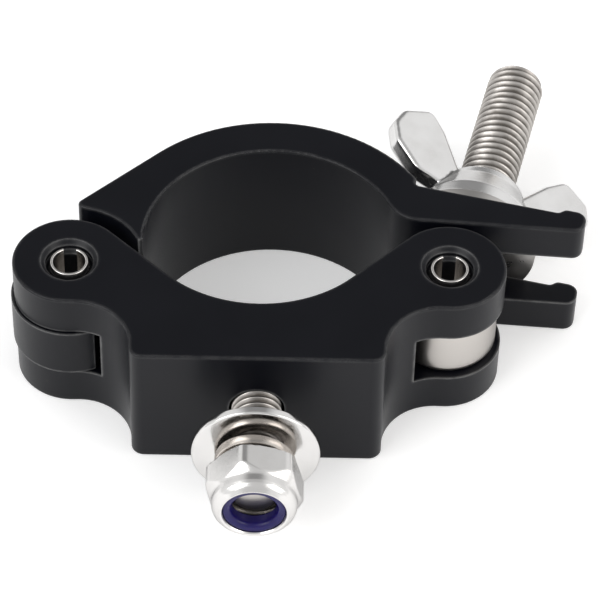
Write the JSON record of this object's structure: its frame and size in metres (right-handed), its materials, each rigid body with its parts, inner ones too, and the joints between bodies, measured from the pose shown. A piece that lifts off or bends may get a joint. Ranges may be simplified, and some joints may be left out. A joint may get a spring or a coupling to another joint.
{
  "type": "half-coupler pipe clamp",
  "caption": "Two-piece hinged pipe clamp whose swinging jaw is closed by an eye bolt and wing nut, with a washered stud and lock nut on its flat base.",
  "frame": {"origin": "centre of the tube that the saddle holds, halfway through the clamp's width", "axes": "+Z along the held tube, +Y from the saddle towards the jaw, +X from the hinge pin to the eye-bolt pin"},
  "size_m": [0.1166, 0.1205, 0.029],
  "materials": {
    "black_coat": "satin black coat over extruded aluminium",
    "pin_steel": "bright rolled spring steel",
    "bolt_steel": "bright stainless with rolled threads",
    "washer_steel": "bright stamped stainless",
    "cast_plated": "tumbled and polished casting",
    "nut_steel": "bright cold-formed stainless",
    "nylon": "moulded blue nylon"
  },
  "bodies": {
    "clamp_base": {"base_body": "black_coat", "hinge_roll_pin": "pin_steel", "eye_bolt_roll_pin": "pin_steel", "mounting_bolt": "bolt_steel"},
    "jaw": {"swing_jaw": "black_coat"},
    "swing_bolt": {"eye_bolt": "bolt_steel"},
    "nut_seat": {"wing_nut_washer": "washer_steel"},
    "closing_nut": {"wing_nut": "cast_plated"},
    "stud_washers": {"mounting_washer": "washer_steel", "spring_washer": "washer_steel"},
    "stud_nut": {"lock_nut": "nut_steel", "nylon_insert": "nylon"}
  },
  "joints": [
    {"name": "jaw_hinge", "type": "hinge", "parent": "clamp_base", "child": "jaw", "pos_m": [-0.0371, -0.015, 0], "axis": [0, 0, 1], "range_deg": [0, 24.6]},
    {"name": "eye_bolt_swing", "type": "hinge", "parent": "clamp_base", "child": "swing_bolt", "pos_m": [0.0371, -0.015, 0], "axis": [0, 0, 1], "range_deg": [0, 24.6]},
    {"name": "wing_nut_travel", "type": "slide", "parent": "swing_bolt", "child": "nut_seat", "axis": [0.2385, 0.9711, 0], "range_m": [0, 0.0316]},
    {"name": "wing_nut_turn", "type": "hinge", "parent": "nut_seat", "child": "closing_nut", "pos_m": [0.0371, -0.015, 0], "axis": [0.2385, 0.9711, 0], "range_deg": [0, 6480]},
    {"name": "mounting_nut_travel", "type": "slide", "parent": "clamp_base", "child": "stud_washers", "axis": [0, 1, 0], "range_m": [-0.0051, 0.01]},
    {"name": "mounting_nut_turn", "type": "hinge", "parent": "stud_washers", "child": "stud_nut", "pos_m": [0, -0.04, 0], "axis": [0, 1, 0], "range_deg": [-1200, 2376]}
  ],
  "couplings": [
    {"joint": "wing_nut_travel", "follows": "wing_nut_turn", "m_per_rad": 0.00027852},
    {"joint": "jaw_hinge", "follows": "wing_nut_turn", "ratio": 0.0037791},
    {"joint": "eye_bolt_swing", "follows": "wing_nut_turn", "ratio": 0.0037791},
    {"joint": "mounting_nut_travel", "follows": "mounting_nut_turn", "m_per_rad": 0.00023873}
  ]
}
